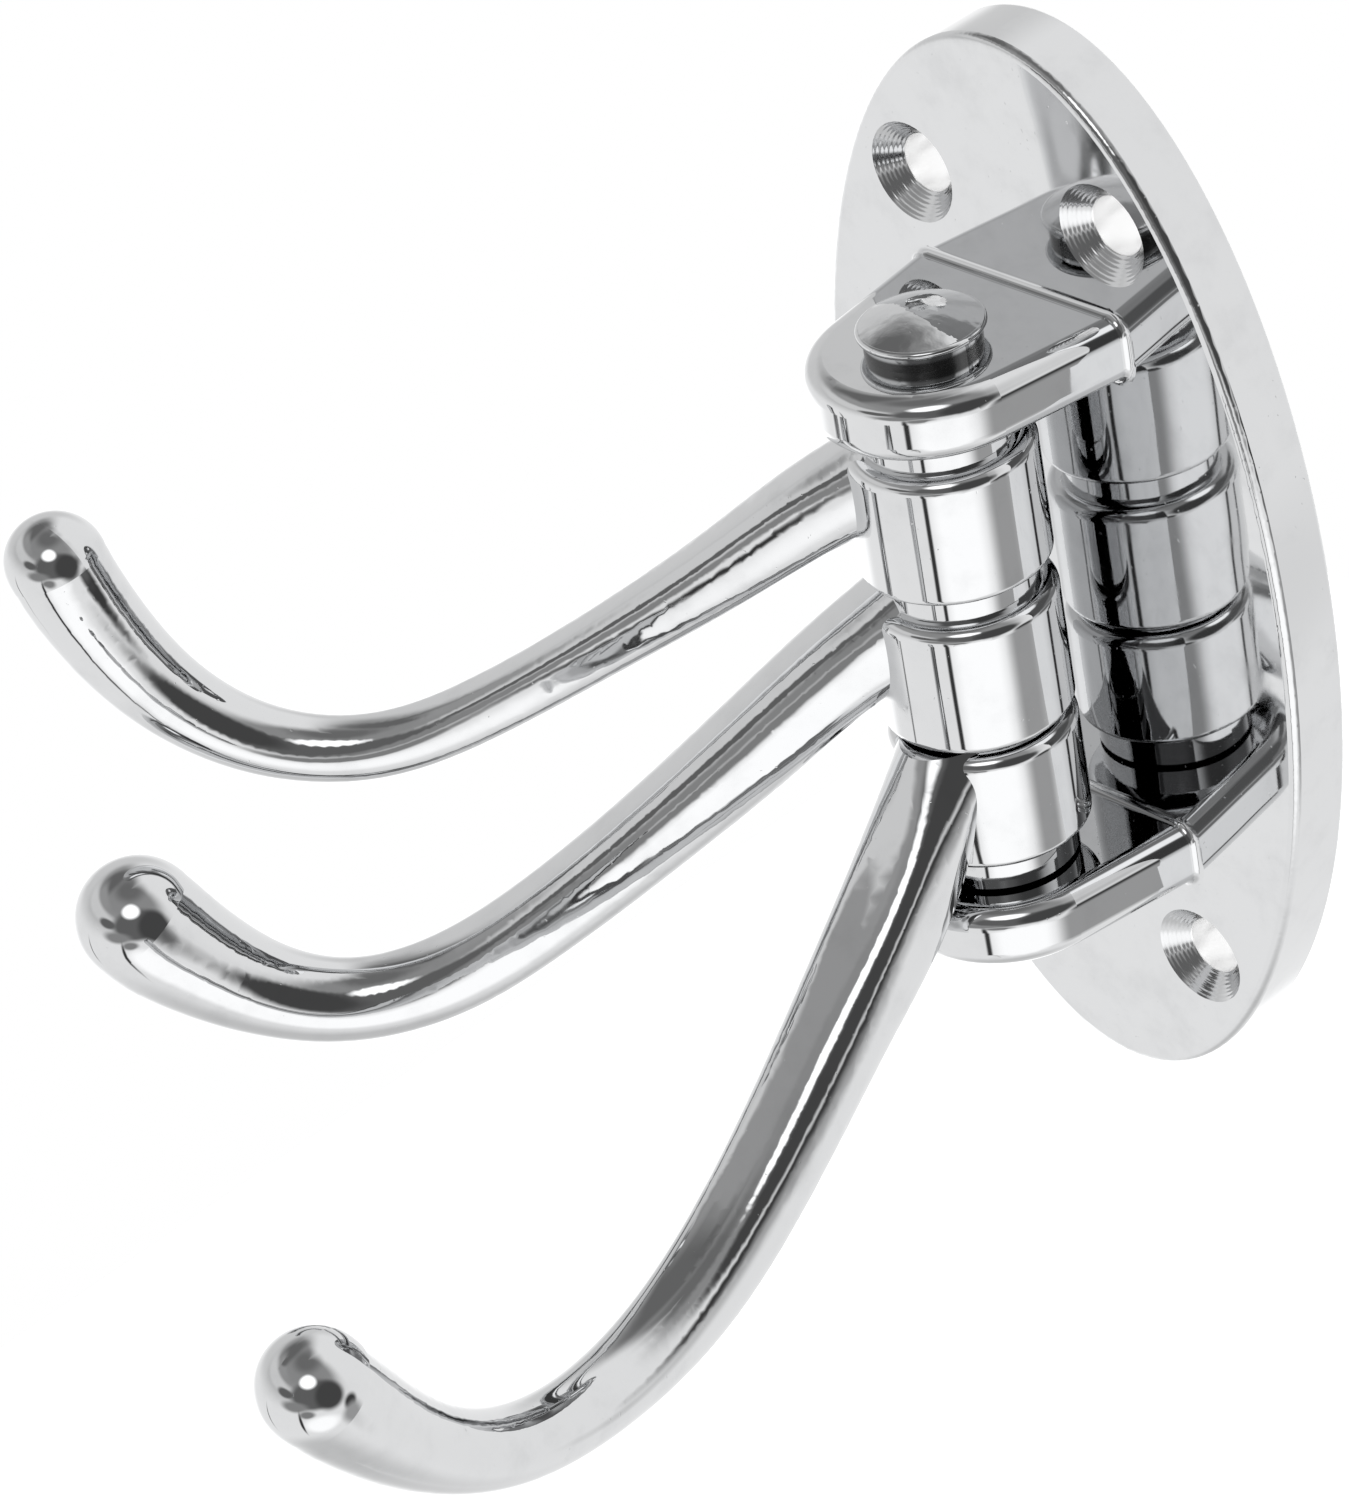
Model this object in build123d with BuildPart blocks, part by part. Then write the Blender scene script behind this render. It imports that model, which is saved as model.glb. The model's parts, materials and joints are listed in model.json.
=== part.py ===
# Swing arm coat hook: an oval wall plate with two ears, a headed pin, three swinging hooks.
# Millimetres. Z is up, the wall is the plane y = 0, the hooks stand out toward -Y.
# The hooks are built where they rest, fanned out at their own swing angles.

from build123d import *
import os
from math import copysign, cos, pi, radians, sin

os.makedirs("parts", exist_ok=True)

# Oval wall plate
PLATE_W = 40.5
PLATE_H = 80.0
PLATE_T = 4.9
PLATE_FRONT_ROUND = 0.6
PLATE_BACK_ROUND = 0.3

# Countersunk screw holes, two above the ears and two below
SCREW_X = 8.45
SCREW_Z = 28.1
SCREW_R = 2.1
SINK_R = 3.62
SINK_DEPTH = SINK_R - SCREW_R

# Ears cast on the plate, one above and one below the hooks
PIN_OUT = 8.75
PIN_Y = -(PLATE_T + PIN_OUT)
UPPER_EAR_Z = (17.6, 22.2)
LOWER_EAR_Z = (-21.8, -17.2)
EAR_ROOT_W = 18.9
EAR_NOSE_R = 8.0
EAR_EDGE_ROUND = 1.4
EAR_ROOT_ROUND = 0.6

# Headed pin through both ears, its lower end peened over
SHANK_R = 2.5
EAR_BORE_R = 2.53
NECK_R = 3.9
HEAD_R = 4.3
HEAD_RIM_Z = 1.05
HEAD_RIM_T = 0.55
HEAD_DOME = 0.75
TAIL_R = 3.5
TAIL_DOME = 1.1

# Hook castings: a drum with a narrower collar, and an arm that runs out of the drum
DRUM_R = 6.45
COLLAR_R = 5.3
DRUM_TOP_ROUND = 1.0
DRUM_LOW_ROUND = 0.55
HOOK_BORE_R = 2.56
HOOK_GAP = 0.3

# Swing of each hook as it rests, 0 being straight out from the wall
UPPER_SWING = -48.0
MIDDLE_SWING = -40.0
LOWER_SWING = 5.0

# Heights on each hook: collar top, drum top, arm level, drum bottom, lower end of the casting
UPPER_LEVELS = (17.4, 15.4, 10.4, 6.05, 6.05)
MIDDLE_LEVELS = (5.85, 4.1, -1.0, -5.45, -5.45)
LOWER_LEVELS = (-5.65, -5.95, -10.65, -14.6, -17.0)

# Section of an arm: flat on top with rounder sides as far as FLAT_OUT from the pin, round past ROUND_OUT.
# The powers are those of a superellipse, 2 being an ellipse; the waist is half its width over the radius.
TOP_POWER = 3.8
SIDE_POWER = 2.4
SQUARE_WAIST = 0.91
FLAT_OUT = 34.0
ROUND_OUT = 44.0
SECTION_POINTS = 16

# Stations of each arm, from inside the drum to the middle of the round tip:
# distance out from the pin, height over the arm level, radius of the arm there
UPPER_ARM = [
    (1.5, 4.8, 3.2),
    (7.9, 0.9, 3.14),
    (15.0, -3.3, 2.74),
    (24.5, -8.5, 2.29),
    (32.8, -12.5, 2.18),
    (41.0, -14.8, 2.23),
    (48.7, -13.3, 2.52),
    (54.3, -8.8, 3.01),
    (57.7, -3.1, 3.45),
    (59.4, 1.8, 3.59),
]
MIDDLE_ARM = [
    (1.5, 5.4, 3.5),
    (8.0, 0.7, 3.5),
    (14.0, -3.7, 3.35),
    (22.3, -9.7, 3.05),
    (31.5, -15.6, 2.85),
    (39.0, -19.0, 2.8),
    (46.0, -19.4, 2.95),
    (51.5, -17.0, 3.45),
    (55.4, -13.6, 4.15),
    (58.0, -10.3, 4.45),
]
LOWER_ARM = [
    (1.5, 5.2, 3.6),
    (8.5, -1.9, 3.65),
    (17.4, -9.3, 3.55),
    (27.0, -16.1, 3.25),
    (36.0, -20.6, 3.0),
    (44.5, -21.9, 2.75),
    (52.5, -20.4, 2.7),
    (60.0, -15.3, 3.1),
    (65.2, -8.9, 3.75),
    (67.5, -5.2, 3.9),
]


def ear_outline():
    """Ear seen from above: wide at the plate, tangent to a round nose about the pin."""
    half = EAR_ROOT_W / 2
    with BuildSketch(mode=Mode.PRIVATE) as nose:
        with Locations((0, PIN_Y)):
            Circle(EAR_NOSE_R)
        Polygon(
            (-half, -PLATE_T / 2),
            (half, -PLATE_T / 2),
            (half, -PLATE_T),
            (-half, -PLATE_T),
            align=None,
        )
        make_hull()
    return nose.sketch


def dome_sphere(rim, rise):
    """Radius of the sphere whose cap has this rim radius and this rise."""
    return (rim * rim + rise * rise) / (2 * rise)


# Wall plate with its ears, one casting
with BuildPart() as wall_plate:
    with BuildSketch(Plane.XZ):
        Ellipse(PLATE_W / 2, PLATE_H / 2)
    extrude(amount=PLATE_T)
    fillet(wall_plate.faces().sort_by(Axis.Y)[0].edges(), PLATE_FRONT_ROUND)
    fillet(wall_plate.faces().sort_by(Axis.Y)[-1].edges(), PLATE_BACK_ROUND)
    for low, high in (UPPER_EAR_Z, LOWER_EAR_Z):
        with BuildSketch(Plane.XY.offset(low)):
            add(ear_outline())
        extrude(amount=high - low)
    for level in UPPER_EAR_Z + LOWER_EAR_Z:
        rim = wall_plate.edges().filter_by_position(Axis.Z, level, level)
        fillet(rim.filter_by(lambda edge: edge.center().Y < -PLATE_T - 0.1), EAR_EDGE_ROUND)
    roots = wall_plate.edges().filter_by_position(Axis.Y, -PLATE_T, -PLATE_T)
    fillet(roots.filter_by(lambda edge: abs(edge.center().X) < EAR_ROOT_W), EAR_ROOT_ROUND)
    with Locations((0, PIN_Y, 0)):
        Cylinder(EAR_BORE_R, PLATE_H, mode=Mode.SUBTRACT)
    with BuildSketch(Plane.XZ.offset(PLATE_T)):
        with GridLocations(2 * SCREW_X, 2 * SCREW_Z, 2, 2):
            Circle(SCREW_R)
    extrude(amount=-PLATE_T, mode=Mode.SUBTRACT)
    with Locations(Plane.XZ.offset(PLATE_T - SINK_DEPTH / 2)):
        with GridLocations(2 * SCREW_X, 2 * SCREW_Z, 2, 2):
            Cone(SCREW_R, SINK_R, SINK_DEPTH, mode=Mode.SUBTRACT)
wall_plate.part.label = "wall plate"
export_step(wall_plate.part, "parts/wall_plate.step")


# Pin: domed head and short neck on the upper ear, shank, peened tail under the lower ear
with BuildPart() as pivot_pin:
    seat = UPPER_EAR_Z[1]
    foot = LOWER_EAR_Z[0]
    rim_r = HEAD_RIM_T / 2
    rim_low = seat + HEAD_RIM_Z
    rim_high = rim_low + HEAD_RIM_T
    top = rim_high + HEAD_DOME
    with BuildSketch(Plane.XZ.offset(-PIN_Y)):
        with BuildLine():
            Line((0, top), (0, foot - TAIL_DOME))
            RadiusArc((0, foot - TAIL_DOME), (TAIL_R, foot), -dome_sphere(TAIL_R, TAIL_DOME))
            Polyline(
                (TAIL_R, foot),
                (SHANK_R, foot),
                (SHANK_R, seat),
                (NECK_R, seat),
                (NECK_R, rim_low),
                (HEAD_R - rim_r, rim_low),
            )
            ThreePointArc((HEAD_R - rim_r, rim_low), (HEAD_R, rim_low + rim_r), (HEAD_R - rim_r, rim_high))
            RadiusArc((HEAD_R - rim_r, rim_high), (0, top), -dome_sphere(HEAD_R - rim_r, HEAD_DOME))
        make_face()
    revolve(axis=Axis((0, PIN_Y, 0), (0, 0, 1)))
pivot_pin.part.label = "pivot pin"
export_step(pivot_pin.part, "parts/pivot_pin.step")


def section_points(radius, out):
    """Points round the arm's section at this distance out: squarish, turning round past FLAT_OUT."""
    square = min((ROUND_OUT - out) / (ROUND_OUT - FLAT_OUT), 1)
    across_power = 2 / (2 + (TOP_POWER - 2) * square)
    upward_power = 2 / (2 + (SIDE_POWER - 2) * square)
    half = radius * (1 + (SQUARE_WAIST - 1) * square)
    turns = [2 * pi * step / SECTION_POINTS for step in range(SECTION_POINTS)]
    return [
        (
            half * copysign(abs(cos(turn)) ** across_power, cos(turn)),
            half * copysign(abs(sin(turn)) ** upward_power, sin(turn)),
        )
        for turn in turns
    ]


def make_hook(levels, stations, swing):
    """One hook casting on the pin: a drum, its narrower collar and an arm, turned to its swing."""
    collar_top, drum_top, arm_level, drum_low, low_end = levels
    outward = (sin(radians(swing)), -cos(radians(swing)), 0)
    upright = Plane(origin=(0, PIN_Y, arm_level), x_dir=outward, z_dir=(outward[1], -outward[0], 0))
    points = [upright.from_local_coords((out, up, 0)) for out, up, radius in stations]
    with BuildPart() as casting:
        with Locations((0, PIN_Y, (drum_top + drum_low) / 2)):
            Cylinder(DRUM_R, drum_top - drum_low)
        rims = casting.edges().filter_by(GeomType.CIRCLE).sort_by(Axis.Z)
        fillet(rims[-1], DRUM_TOP_ROUND)
        fillet(rims[0], DRUM_LOW_ROUND)
        with Locations((0, PIN_Y, (collar_top + low_end) / 2)):
            Cylinder(COLLAR_R, collar_top - low_end)
        # Arm, lofted through its stations, with a half ball closing the tip
        line = Spline(*points, mode=Mode.PRIVATE)
        for point, (out, up, radius) in zip(points, stations):
            along = line % line.param_at_point(point)
            with BuildSketch(Plane(origin=point, x_dir=upright.z_dir, z_dir=along)):
                if out < ROUND_OUT:
                    with BuildLine():
                        Spline(*section_points(radius, out), periodic=True)
                    make_face()
                else:
                    Circle(radius)
        loft()
        with Locations(Plane(origin=points[-1], z_dir=line % 1)):
            Sphere(stations[-1][2], arc_size1=0, align=(Align.CENTER, Align.CENTER, Align.MIN))
        # Flat top level with the collar, relief round the lower ear's nose, bore for the pin
        with BuildSketch(Plane.XY.offset(collar_top)):
            with Locations((0, PIN_Y)):
                Circle(2 * DRUM_R)
        extrude(amount=2 * DRUM_R, mode=Mode.SUBTRACT)
        with BuildSketch(Plane.XY.offset(LOWER_EAR_Z[1] + HOOK_GAP)):
            with Locations((0, PIN_Y)):
                Circle(EAR_NOSE_R + HOOK_GAP)
        extrude(amount=-2 * DRUM_R, mode=Mode.SUBTRACT)
        with Locations((0, PIN_Y, arm_level)):
            Cylinder(HOOK_BORE_R, 4 * DRUM_R, mode=Mode.SUBTRACT)
    return casting.part


with BuildPart() as hook_upper:
    add(make_hook(UPPER_LEVELS, UPPER_ARM, UPPER_SWING))
hook_upper.part.label = "upper hook"
export_step(hook_upper.part, "parts/hook_upper.step")

with BuildPart() as hook_middle:
    add(make_hook(MIDDLE_LEVELS, MIDDLE_ARM, MIDDLE_SWING))
hook_middle.part.label = "middle hook"
export_step(hook_middle.part, "parts/hook_middle.step")

with BuildPart() as hook_lower:
    add(make_hook(LOWER_LEVELS, LOWER_ARM, LOWER_SWING))
hook_lower.part.label = "lower hook"
export_step(hook_lower.part, "parts/hook_lower.step")
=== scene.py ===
"""Looks of the swing arm coat hook: polished chrome castings, a pale floor and a soft studio."""

import json
from math import cos, pi, radians, sin

import bpy
from mathutils import Matrix, Vector


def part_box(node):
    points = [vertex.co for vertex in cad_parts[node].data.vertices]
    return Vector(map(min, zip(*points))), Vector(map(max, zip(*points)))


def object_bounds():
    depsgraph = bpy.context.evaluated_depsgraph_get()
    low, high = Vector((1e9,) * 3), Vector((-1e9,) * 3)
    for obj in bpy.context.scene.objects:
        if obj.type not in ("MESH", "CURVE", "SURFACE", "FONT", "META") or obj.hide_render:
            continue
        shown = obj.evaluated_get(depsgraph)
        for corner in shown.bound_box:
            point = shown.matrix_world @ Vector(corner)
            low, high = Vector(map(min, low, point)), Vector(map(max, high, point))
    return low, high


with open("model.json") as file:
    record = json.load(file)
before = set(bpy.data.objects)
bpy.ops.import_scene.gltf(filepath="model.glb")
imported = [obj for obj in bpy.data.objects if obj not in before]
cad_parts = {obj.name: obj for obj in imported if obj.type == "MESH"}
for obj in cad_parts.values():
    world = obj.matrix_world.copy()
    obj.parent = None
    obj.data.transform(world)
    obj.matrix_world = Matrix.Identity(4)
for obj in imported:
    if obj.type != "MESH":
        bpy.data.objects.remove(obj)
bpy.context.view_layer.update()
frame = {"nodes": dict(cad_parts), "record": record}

MM = 0.001

# Screw holes and pin, read from the frame
SCREW_DIMS = next(mount["dims"] for mount in frame["record"]["mounts"] if mount["name"] == "screws")
SCREW_X = SCREW_DIMS["spacing_x_mm"] * MM / 2
SCREW_Z = SCREW_DIMS["spacing_y_mm"] * MM / 2
BORE_RADIUS = SCREW_DIMS["hole_r_mm"] * MM
PIN_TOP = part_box("pivot_pin")[1][2]

# Sizes of the CAD model that the frame doesn't state
PLATE_FRONT = -4.9 * MM
SINK_RADIUS = 3.62 * MM
SINK_DEPTH = SINK_RADIUS - BORE_RADIUS
HEAD_HEIGHT = 1.3 * MM
NECK_HEIGHT = 1.05 * MM

# Chrome: noise scales are per metre, a range is where the noise starts and ends to count,
# and a bump is its height and its strength
CHROME_TINT = (0.65, 0.655, 0.662, 1.0)
HAZE_TINT = (0.60, 0.605, 0.612, 1.0)
POLISHED_ROUGHNESS = 0.03
HAZY_ROUGHNESS = 0.075
HAZE_SCALE = 260.0
HAZE_RANGE = (0.45, 0.8)
WAVE_SCALE = 90.0
WAVE_BUMP = (0.35 * MM, 0.12)
PIT_SCALE = 2600.0
PIT_RANGE = (0.76, 0.82)
PIT_BUMP = (0.01 * MM, 0.4)

# Plate: turned rings in the countersinks, a dull bore under them made pale by painted light, an unpolished
# back
RING_PITCH = 0.21 * MM
CHATTER_PITCH = 0.34 * MM
CHATTER_FADE_SCALE = 900.0
RING_BUMP = (0.006 * MM, 0.6)
SINK_ROUGHNESS = 0.12
# Painted light: the bore's pale grey stands in for light seen through the hole, not the metal's colour
BORE_PAINTED_LIGHT_LEVEL = 0.95
BORE_ROUGHNESS = 0.3
BACK_MARGIN = 0.25 * MM
BACK_ROUGHNESS = 0.38
FINISH_RIM = 0.02 * MM

# Pin: a head dimpled where it was struck, and painted shade on the neck, full up to a share of its height and
# gone by a larger share
DENT_SCALE = 420.0
DENT_BUMP = (0.3 * MM, 0.35)
NICK_SCALE = 1500.0
NICK_BUMP = (0.03 * MM, 0.3)
# Painted shade: the neck's dark grey stands in for shade and the dark reflection under the head
NECK_PAINTED_SHADE_FULL_TO = 0.5
NECK_PAINTED_SHADE_GONE_AT = 0.75
NECK_PAINTED_SHADE_LEVEL = 0.12
NECK_ROUGHNESS = 0.22


class Nodes:
    """Shorthand for one node tree: adds nodes and links them."""

    def __init__(self, tree):
        self.tree = tree

    def add(self, kind, **settings):
        node = self.tree.nodes.new(kind)
        for key, value in settings.items():
            setattr(node, key, value)
        return node

    def link(self, out, into):
        self.tree.links.new(out, into)

    def feed(self, value, socket):
        """Link a socket, or set a plain value."""
        if isinstance(value, bpy.types.NodeSocket):
            self.link(value, socket)
        else:
            socket.default_value = value

    def math(self, operation, first, second=0.0):
        node = self.add("ShaderNodeMath", operation=operation)
        self.feed(first, node.inputs[0])
        self.feed(second, node.inputs[1])
        return node.outputs[0]

    def split(self, vector):
        """X, Y and Z of a vector."""
        node = self.add("ShaderNodeSeparateXYZ")
        self.link(vector, node.inputs[0])
        return node.outputs[:]

    def ramp(self, value, low, high, to_low=0.0, to_high=1.0):
        """Smooth step from to_low at low to to_high at high."""
        node = self.add("ShaderNodeMapRange", interpolation_type="SMOOTHSTEP")
        for item, socket in zip((value, low, high, to_low, to_high), node.inputs):
            self.feed(item, socket)
        return node.outputs[0]

    def noise(self, where, scale, detail=2.0, roughness=0.5):
        node = self.add("ShaderNodeTexNoise")
        self.link(where, node.inputs["Vector"])
        node.inputs["Scale"].default_value = scale
        node.inputs["Detail"].default_value = detail
        node.inputs["Roughness"].default_value = roughness
        return node.outputs["Fac"]

    def blend(self, factor, first, second):
        """Colour between two colours."""
        node = self.add("ShaderNodeMix", data_type="RGBA")
        self.feed(factor, node.inputs["Factor"])
        self.feed(first, node.inputs["A"])
        self.feed(second, node.inputs["B"])
        return node.outputs["Result"]

    def bump(self, height, distance, strength, normal=None):
        node = self.add("ShaderNodeBump")
        self.feed(height, node.inputs["Height"])
        node.inputs["Distance"].default_value = distance
        node.inputs["Strength"].default_value = strength
        if normal is not None:
            self.link(normal, node.inputs["Normal"])
        return node.outputs["Normal"]


def grey(level):
    return (level, level, level, 1.0)


class Chrome:
    """Polished chrome over a hand-finished casting: faint waves, polishing haze, few pits."""

    def __init__(self, name):
        self.material = bpy.data.materials.new(name)
        self.material.use_nodes = True
        self.nodes = n = Nodes(self.material.node_tree)
        self.where = n.add("ShaderNodeTexCoord").outputs["Object"]
        haze = n.ramp(n.noise(self.where, HAZE_SCALE, detail=4.0, roughness=0.6), *HAZE_RANGE)
        waves = n.noise(self.where, WAVE_SCALE, detail=1.0)
        pits = n.ramp(n.noise(self.where, PIT_SCALE, detail=1.0), *PIT_RANGE)
        self.tint = n.blend(haze, CHROME_TINT, HAZE_TINT)
        self.rough = n.ramp(haze, 0.0, 1.0, POLISHED_ROUGHNESS, HAZY_ROUGHNESS)
        self.normal = n.bump(waves, *WAVE_BUMP)
        self.normal = n.bump(n.math("MULTIPLY", pits, -1.0), *PIT_BUMP, self.normal)

    def roughen(self, mask, roughness):
        """At least this rough where the mask is 1."""
        self.rough = self.nodes.math("MAXIMUM", self.rough, self.nodes.math("MULTIPLY", mask, roughness))

    def finish(self):
        """The material, with its tint, roughness and normal linked to the shader."""
        shader = self.nodes.tree.nodes["Principled BSDF"]
        shader.inputs["Metallic"].default_value = 1.0
        self.nodes.link(self.tint, shader.inputs["Base Color"])
        self.nodes.link(self.rough, shader.inputs["Roughness"])
        self.nodes.link(self.normal, shader.inputs["Normal"])
        return self.material


def plate_chrome():
    """Chrome with turned countersinks, bores made pale by painted light, and a dull, unpolished back."""
    chrome = Chrome("plate_chrome")
    n = chrome.nodes
    x, y, z = n.split(chrome.where)

    # Distance from the nearest screw's middle, and the countersink's cone in it
    across = n.math("SUBTRACT", n.math("ABSOLUTE", x), SCREW_X)
    along = n.math("SUBTRACT", n.math("ABSOLUTE", z), SCREW_Z)
    squares = n.math("ADD", n.math("MULTIPLY", across, across), n.math("MULTIPLY", along, along))
    radius = n.math("SQRT", squares)
    sink_end = PLATE_FRONT + SINK_DEPTH
    inside = n.ramp(radius, SINK_RADIUS - FINISH_RIM, SINK_RADIUS, 1.0, 0.0)
    deep = n.ramp(y, PLATE_FRONT, PLATE_FRONT + 2 * FINISH_RIM)
    shallow = n.ramp(y, sink_end - 2 * FINISH_RIM, sink_end, 1.0, 0.0)
    turned = n.math("MULTIPLY", inside, n.math("MULTIPLY", deep, shallow))

    rings = n.math("SINE", n.math("MULTIPLY", radius, 2 * pi / RING_PITCH))
    chatter = n.math("SINE", n.math("MULTIPLY", radius, 2 * pi / CHATTER_PITCH))
    fade = n.noise(chrome.where, CHATTER_FADE_SCALE, detail=1.0)
    groove = n.math("MULTIPLY", n.math("ADD", rings, n.math("MULTIPLY", chatter, fade)), turned)
    chrome.normal = n.bump(groove, *RING_BUMP, chrome.normal)

    # Painted light: the bore is tinted pale grey, and it is made rougher too
    painted_pale_bore = n.ramp(radius, BORE_RADIUS + FINISH_RIM, BORE_RADIUS + 3 * FINISH_RIM, 1.0, 0.0)
    chrome.tint = n.blend(painted_pale_bore, chrome.tint, grey(BORE_PAINTED_LIGHT_LEVEL))
    chrome.roughen(n.ramp(y, -BACK_MARGIN, 0.0), BACK_ROUGHNESS)
    chrome.roughen(painted_pale_bore, BORE_ROUGHNESS)
    chrome.roughen(turned, SINK_ROUGHNESS)
    return chrome.finish()


def pin_chrome():
    """Chrome with a dimpled head, and painted shade low under the head, where the pin is also left
    unpolished.
    """
    chrome = Chrome("pin_chrome")
    n = chrome.nodes
    height = n.split(chrome.where)[2]
    neck_low = PIN_TOP - HEAD_HEIGHT - NECK_HEIGHT
    painted_shade_full_to = neck_low + NECK_PAINTED_SHADE_FULL_TO * NECK_HEIGHT
    painted_shade_gone_at = neck_low + NECK_PAINTED_SHADE_GONE_AT * NECK_HEIGHT
    # Painted shade: the low part of the neck is tinted dark grey, and it is made rougher too
    neck_painted_shade = n.ramp(height, painted_shade_full_to, painted_shade_gone_at, 1.0, 0.0)
    chrome.tint = n.blend(neck_painted_shade, chrome.tint, grey(NECK_PAINTED_SHADE_LEVEL))
    chrome.roughen(neck_painted_shade, NECK_ROUGHNESS)
    chrome.normal = n.bump(n.noise(chrome.where, DENT_SCALE), *DENT_BUMP, chrome.normal)
    chrome.normal = n.bump(n.noise(chrome.where, NICK_SCALE, roughness=0.6), *NICK_BUMP, chrome.normal)
    return chrome.finish()


hook_chrome = Chrome("hook_chrome").finish()
FINISHES = {
    "wall_plate": plate_chrome(),
    "pivot_pin": pin_chrome(),
    "hook_upper": hook_chrome,
    "hook_middle": hook_chrome,
    "hook_lower": hook_chrome,
}
for node, finish in FINISHES.items():
    for slot in frame["nodes"][node].material_slots:
        slot.material = finish


def toward(azimuth, elevation):
    """Direction out from the part: azimuth 0 degrees is straight out from the wall, plus to its right."""
    a, e = radians(azimuth), radians(elevation)
    return Vector((sin(a) * cos(e), -cos(a) * cos(e), sin(e)))


# Camera at the photograph's place: angles in degrees, and how far it stands off the part's origin
VIEW_AZIMUTH = 51.99
VIEW_ELEVATION = 32.26
VIEW_ROLL = -10.73
VIEW_DISTANCE = 416.3 * MM
VIEW_ACROSS = -30.05 * MM
VIEW_UP = -12.89 * MM
LENS = 148.95
SHIFT = (0.0091, -0.0122)
CLIP_START = 10 * MM


def view_axes():
    """Right, up and backward of the photograph's camera."""
    back = toward(VIEW_AZIMUTH, VIEW_ELEVATION)
    level = toward(VIEW_AZIMUTH + 90, 0)
    rise = back.cross(level)
    roll = radians(VIEW_ROLL)
    right = cos(roll) * level + sin(roll) * rise
    up = cos(roll) * rise - sin(roll) * level
    return right, up, back


def add_camera():
    right, up, back = view_axes()
    data = bpy.data.cameras.new("camera")
    data.lens = LENS
    data.shift_x, data.shift_y = SHIFT
    data.clip_start = CLIP_START
    camera = bpy.data.objects.new("camera", data)
    place = right * VIEW_ACROSS + up * VIEW_UP + back * VIEW_DISTANCE
    camera.matrix_world = Matrix.Translation(place) @ Matrix((right, up, back)).transposed().to_4x4()
    bpy.context.scene.collection.objects.link(camera)
    bpy.context.scene.camera = camera


# Studio as the chrome shows it: paler low down, greyer overhead
LOW_LEVEL = 1.1
HIGH_LEVEL = 0.36
LOW_ELEVATION = -10
HIGH_ELEVATION = 50

# Soft oval patches of the studio, each laid over those before it: middle azimuth and elevation,
# half width and half height in degrees, softness of the rim as a share of the patch, and the patch's level
STUDIO_PATCHES = [
    (170, 12, 60, 75, 0.25, 1.08),  # pale wall behind the plate
    (0, 90, 200, 24, 0.4, 0.2),  # dim ceiling
    (-90, 54, 38, 13, 0.4, 0.18),  # dark flag high on the left
    (-50, 45, 32, 8, 0.5, 0.42),  # grey strip high in front
    (-40, 29, 50, 9, 0.4, 0.85),  # paler strip below it
    (-110, 14, 40, 16, 0.5, 0.82),  # pale wall on the left
    (-6, 22, 17, 7, 0.3, 0.16),  # flag that draws the arms' dark side line
    (52, 24, 46, 27, 0.2, 0.16),  # dark camera side
    (14, 3, 22, 9, 0.4, 0.33),  # its lower edge in front
    (34, -11, 13, 7, 0.4, 0.3),  # and below the camera
    (80, 16, 27, 26, 0.25, 0.08),  # darker on the right
    (112, -14, 12, 12, 0.4, 0.06),  # and lower on the right
    (42, 49, 22, 12, 0.3, 1.9),  # soft box over the camera
    (-110, -42, 42, 24, 0.4, 1.6),  # bright sheet low on the left
    (-52, -32, 18, 16, 0.5, 1.12),  # its dimmer edge, in the plate's face
    (0, -90, 200, 26, 0.5, 0.75),  # table under the part
    (56, -34, 30, 16, 0.35, 1.5),  # white sheet that the drums' fronts show
    (112, -32, 17, 15, 0.5, 0.45),  # grey beside it, on the drums' right
    (20.7, -28, 2.6, 20, 0.5, 0.05),  # thin black strip down the drums
    (-42, -28, 1.2, 14, 0.6, 0.25),  # thinner grey strip to its left
]


def soft_patch(n, where, azimuth, elevation, half_width, half_height, soft):
    """How far a direction lies inside a soft-edged oval patch, 0 to 1."""
    out = n.add("ShaderNodeVectorMath", operation="DOT_PRODUCT")
    side = n.add("ShaderNodeVectorMath", operation="DOT_PRODUCT")
    for node, heading in ((out, azimuth), (side, azimuth + 90)):
        n.link(where, node.inputs[0])
        node.inputs[1].default_value = toward(heading, 0)
    across = n.math("ARCTAN2", side.outputs["Value"], out.outputs["Value"])
    rise = n.math("SUBTRACT", n.math("ARCSINE", n.split(where)[2]), radians(elevation))
    wide = n.math("POWER", n.math("DIVIDE", n.math("ABSOLUTE", across), radians(half_width)), 2.0)
    high = n.math("POWER", n.math("DIVIDE", n.math("ABSOLUTE", rise), radians(half_height)), 2.0)
    reach = n.math("SQRT", n.math("ADD", wide, high))
    return n.ramp(reach, 1.0 - soft, 1.0 + soft, 1.0, 0.0)


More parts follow.
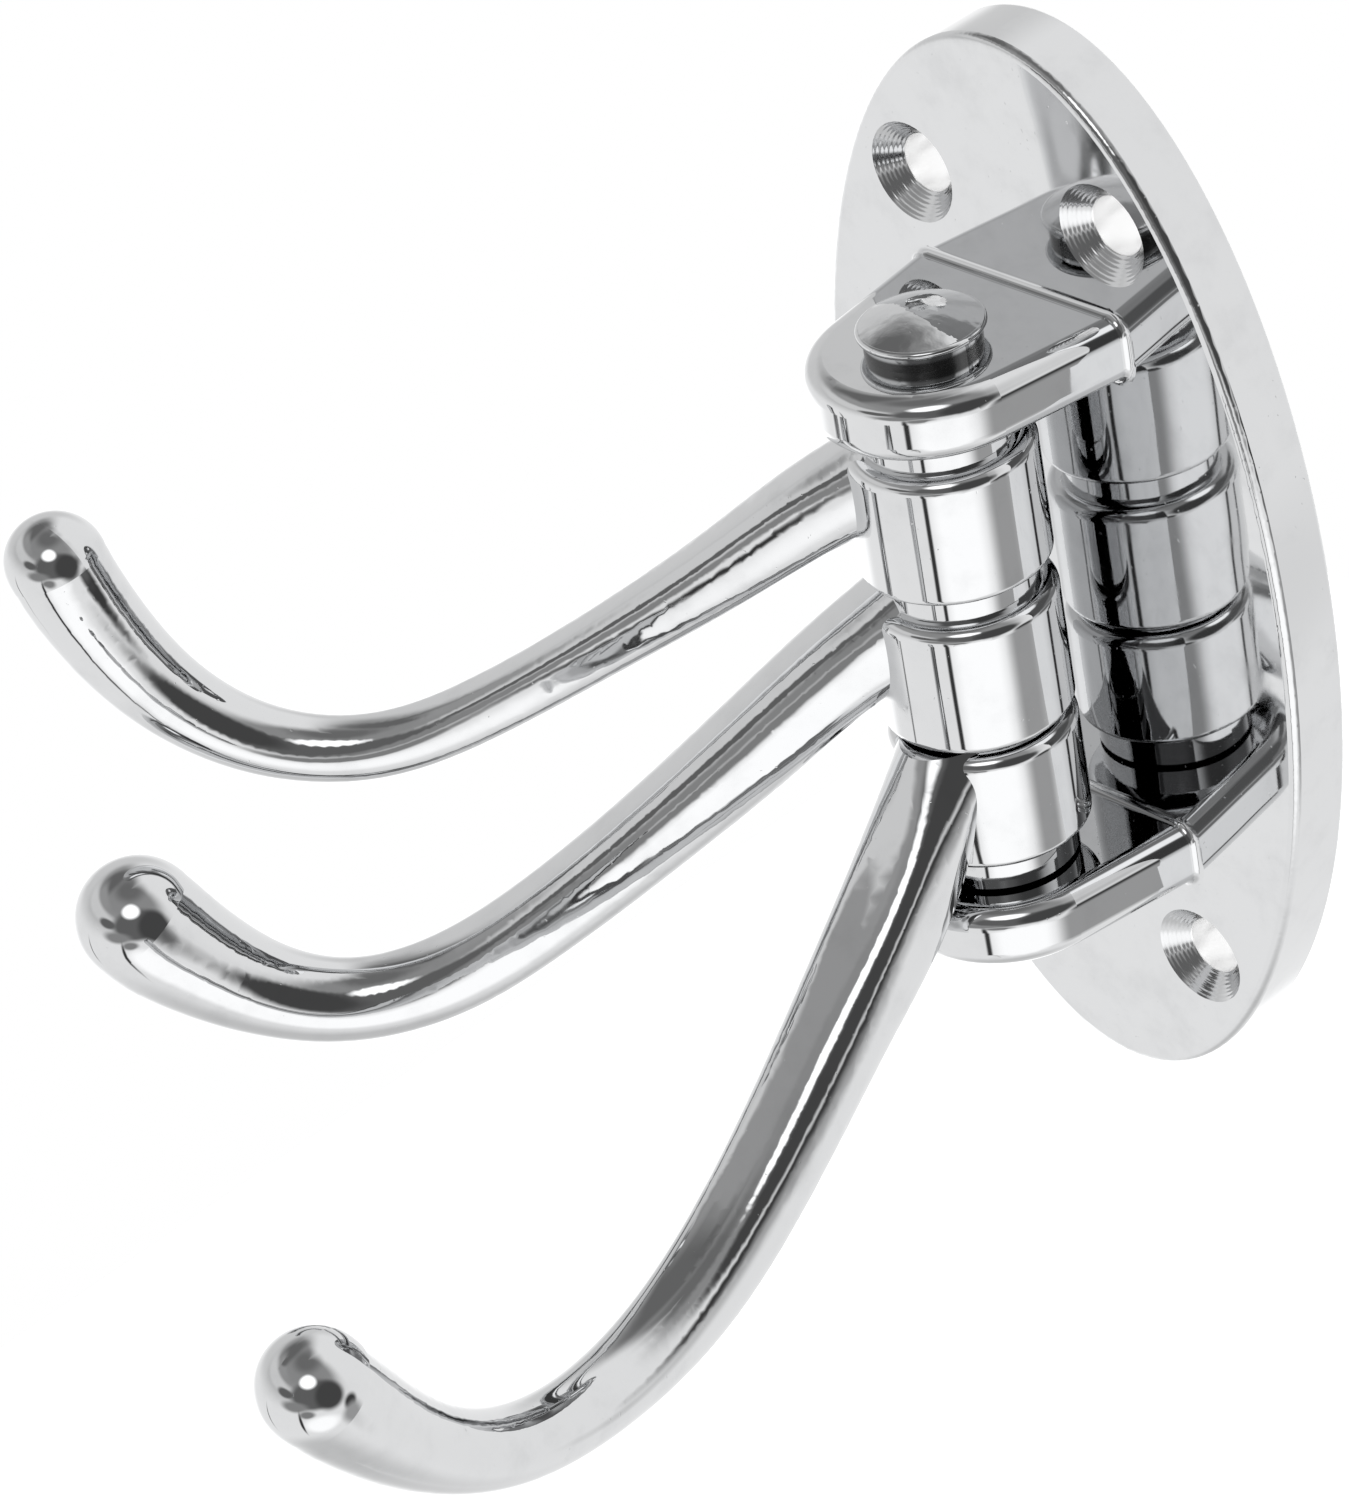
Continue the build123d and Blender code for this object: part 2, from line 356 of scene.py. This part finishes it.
def add_world():
    """Plain pale studio with soft boxes and flags; the camera itself sees plain white."""
    world = bpy.data.worlds.new("studio")
    world.use_nodes = True
    n = Nodes(world.node_tree)
    where = n.add("ShaderNodeTexCoord").outputs["Generated"]
    rise = n.ramp(n.split(where)[2], sin(radians(LOW_ELEVATION)), sin(radians(HIGH_ELEVATION)))
    colour = n.blend(rise, grey(LOW_LEVEL), grey(HIGH_LEVEL))
    for *shape, level in STUDIO_PATCHES:
        colour = n.blend(soft_patch(n, where, *shape), colour, grey(level))
    studio = n.tree.nodes["Background"]
    n.link(colour, studio.inputs["Color"])
    backdrop = n.add("ShaderNodeBackground", label="white backdrop")
    backdrop.inputs["Color"].default_value = grey(1.0)
    pick = n.add("ShaderNodeMixShader")
    n.link(n.add("ShaderNodeLightPath").outputs["Is Camera Ray"], pick.inputs[0])
    n.link(studio.outputs[0], pick.inputs[1])
    n.link(backdrop.outputs[0], pick.inputs[2])
    n.link(pick.outputs[0], n.tree.nodes["World Output"].inputs["Surface"])
    bpy.context.scene.world = world


FLOOR_DROP = 260 * MM
FLOOR_HALF = 350 * MM
FLOOR_COLOUR = grey(0.86)
FLOOR_ROUGHNESS = 0.9
FLOOR_SPECULAR = 0.1
FLOOR_LIFT = 0.6


def add_floor():
    """Pale floor below the part, lifted to white for the camera; the chrome shows the studio in its place."""
    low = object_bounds()[0][2] - FLOOR_DROP
    corners = [
        (-FLOOR_HALF, -FLOOR_HALF, low),
        (FLOOR_HALF, -FLOOR_HALF, low),
        (FLOOR_HALF, FLOOR_HALF, low),
        (-FLOOR_HALF, FLOOR_HALF, low),
    ]
    mesh = bpy.data.meshes.new("floor")
    mesh.from_pydata(corners, [], [(0, 1, 2, 3)])
    floor = bpy.data.objects.new("floor", mesh)
    bpy.context.scene.collection.objects.link(floor)
    material = bpy.data.materials.new("floor_paper")
    material.use_nodes = True
    n = Nodes(material.node_tree)
    shader = n.tree.nodes["Principled BSDF"]
    shader.inputs["Base Color"].default_value = FLOOR_COLOUR
    shader.inputs["Roughness"].default_value = FLOOR_ROUGHNESS
    shader.inputs["Specular IOR Level"].default_value = FLOOR_SPECULAR
    seen = n.add("ShaderNodeLightPath").outputs["Is Camera Ray"]
    lift = n.add("ShaderNodeEmission")
    n.link(n.math("MULTIPLY", seen, FLOOR_LIFT), lift.inputs["Strength"])
    both = n.add("ShaderNodeAddShader")
    n.link(shader.outputs[0], both.inputs[0])
    n.link(lift.outputs[0], both.inputs[1])
    n.link(both.outputs[0], n.tree.nodes["Material Output"].inputs["Surface"])
    mesh.materials.append(material)
    floor.visible_glossy = False


# Soft boxes round LIGHT_AIM: azimuth, elevation, distance, width, height, watts
LIGHT_AIM = Vector((0, -30 * MM, 0))
SOFT_BOXES = [
    (150, 35, 0.9, 0.5, 0.8, 1.0),
    (-125, 30, 0.9, 0.5, 0.8, 0.8),
    (20, 70, 1.0, 0.6, 0.6, 0.8),
]


def add_lights():
    for azimuth, elevation, distance, width, height, watts in SOFT_BOXES:
        data = bpy.data.lights.new("soft_box", "AREA")
        data.shape = "RECTANGLE"
        data.size, data.size_y = width, height
        data.energy = watts
        light = bpy.data.objects.new("soft_box", data)
        away = toward(azimuth, elevation)
        light.location = LIGHT_AIM + away * distance
        light.rotation_euler = away.to_track_quat("Z", "Y").to_euler()
        light.visible_camera = False
        light.visible_glossy = False
        bpy.context.scene.collection.objects.link(light)


add_camera()
add_world()
add_floor()
add_lights()

bpy.context.scene.view_settings.view_transform = "Standard"
